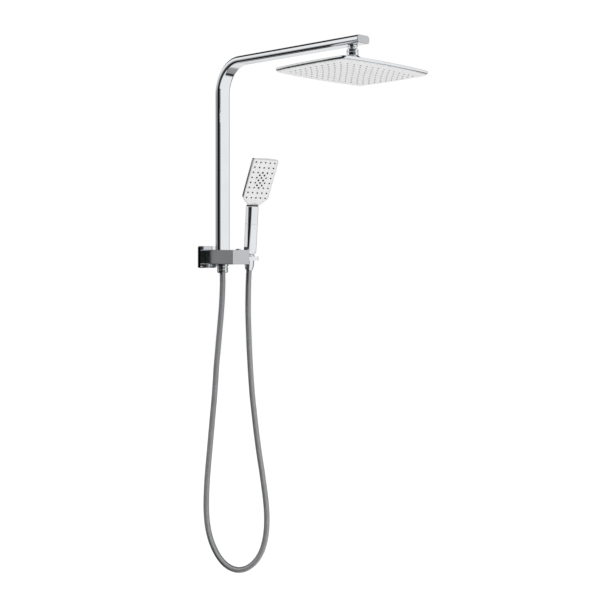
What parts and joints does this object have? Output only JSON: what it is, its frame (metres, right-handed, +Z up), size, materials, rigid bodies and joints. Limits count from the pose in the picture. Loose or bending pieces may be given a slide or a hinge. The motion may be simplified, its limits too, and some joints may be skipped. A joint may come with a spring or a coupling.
{
  "type": "rainfall shower column",
  "caption": "Wall-fed chrome shower column: flat bent riser with a swivelling rectangular rain head, push diverter, and a handset on a steel hose resting in a side cradle.",
  "frame": {"origin": "centre of the inlet thread at the wall face, which is the centre of the wall plate's back", "axes": "+Y into the wall, so -Y points into the room; +X to the user's right when facing the wall; +Z up along the riser"},
  "size_m": [0.268, 0.571, 1.2193],
  "materials": {
    "chrome": "polished chrome plate",
    "steel": "plain stainless steel",
    "steel_hose": "interlocked stainless strip",
    "brass": "machined brass",
    "rubber": "moulded rubber",
    "fibre": "pressed fibre",
    "white_plastic": "moulded gloss white plastic",
    "nylon": "natural acetal",
    "grey_silicone": "moulded silicone",
    "black_plastic": "moulded black plastic",
    "blue_plastic": "moulded plastic"
  },
  "bodies": {
    "root": {"wall_plate": "chrome", "wall_bracket": "steel", "bracket_screws": "steel", "plate_seal": "rubber", "plate_grub_screw": "steel", "inlet_washer": "fibre", "inlet_filter": "steel", "diverter_block": "chrome", "diverter_gland": "chrome", "diverter_spring": "steel", "riser_pipe": "chrome", "pipe_spigot": "brass", "spigot_o_rings": "rubber", "spigot_grub_screw": "steel", "arm_end_cap": "chrome", "arm_insert": "brass", "stem_washer": "fibre", "ball_stem": "chrome", "outlet_nipple": "chrome", "check_valve": "nylon", "hose_nut": "chrome", "hose_washer": "rubber", "hose_ferrule": "chrome", "shower_hose": "steel_hose", "holder_plate": "chrome", "holder_liner": "nylon", "holder_screws": "steel"},
    "diverter": {"diverter_button": "chrome", "diverter_spool": "brass", "spool_o_rings": "rubber"},
    "ball_liner": {"ball_liner": "nylon"},
    "ball_cup": {"ball_cup": "nylon"},
    "rain_head": {"swivel_nut": "chrome", "head_collar": "chrome", "ball_seal": "rubber", "flow_disc": "blue_plastic", "head_top_shell": "chrome", "head_face_plate": "white_plastic", "head_nozzle_mat": "grey_silicone", "head_water_plate": "nylon", "head_gasket": "rubber", "head_screws": "steel"},
    "conical_nut": {"cone_nut": "chrome", "cone_washer": "rubber", "cone_ferrule": "chrome"},
    "handset": {"handset_handle": "chrome", "handset_thread": "chrome", "handset_tube": "nylon", "neck_trim": "black_plastic", "spray_back_shell": "chrome", "spray_face_plate": "white_plastic", "spray_nozzle_mat": "grey_silicone", "spray_jet_insert": "black_plastic", "spray_seal": "rubber", "spray_screws": "steel", "spray_button_spring": "steel"},
    "spray_button": {"spray_button": "chrome"}
  },
  "joints": [
    {"name": "diverter_press", "type": "slide", "parent": "root", "child": "diverter", "axis": [0, 0, -1], "range_m": [0, 0.002], "stiffness_N_per_m": 500, "springref_m": -0.004, "deforming": ["diverter_spring"]},
    {"name": "head_tilt", "type": "hinge", "parent": "root", "child": "ball_liner", "pos_m": [0, -0.464, 0.42805], "axis": [1, 0, 0], "range_deg": [-12, 12]},
    {"name": "head_roll", "type": "hinge", "parent": "ball_liner", "child": "ball_cup", "pos_m": [0, -0.464, 0.42805], "axis": [0, 1, 0], "range_deg": [-12, 12]},
    {"name": "head_spin", "type": "hinge", "parent": "ball_cup", "child": "rain_head", "pos_m": [0, -0.464, 0.42805], "axis": [0, 0, 1], "continuous": true},
    {"name": "handset_lift", "type": "slide", "parent": "root", "child": "conical_nut", "axis": [0, -0.0785, 0.9969], "range_m": [0, 0.06]},
    {"name": "handset_turn", "type": "hinge", "parent": "conical_nut", "child": "handset", "pos_m": [0.0515, -0.082, 0], "axis": [0, -0.0785, 0.9969], "range_deg": [-80, 100]},
    {"name": "spray_press", "type": "slide", "parent": "handset", "child": "spray_button", "axis": [-0.1598, -0.8731, -0.4607], "range_m": [0, 0.0015], "stiffness_N_per_m": 500, "springref_m": -0.003, "deforming": ["spray_button_spring"]}
  ]
}
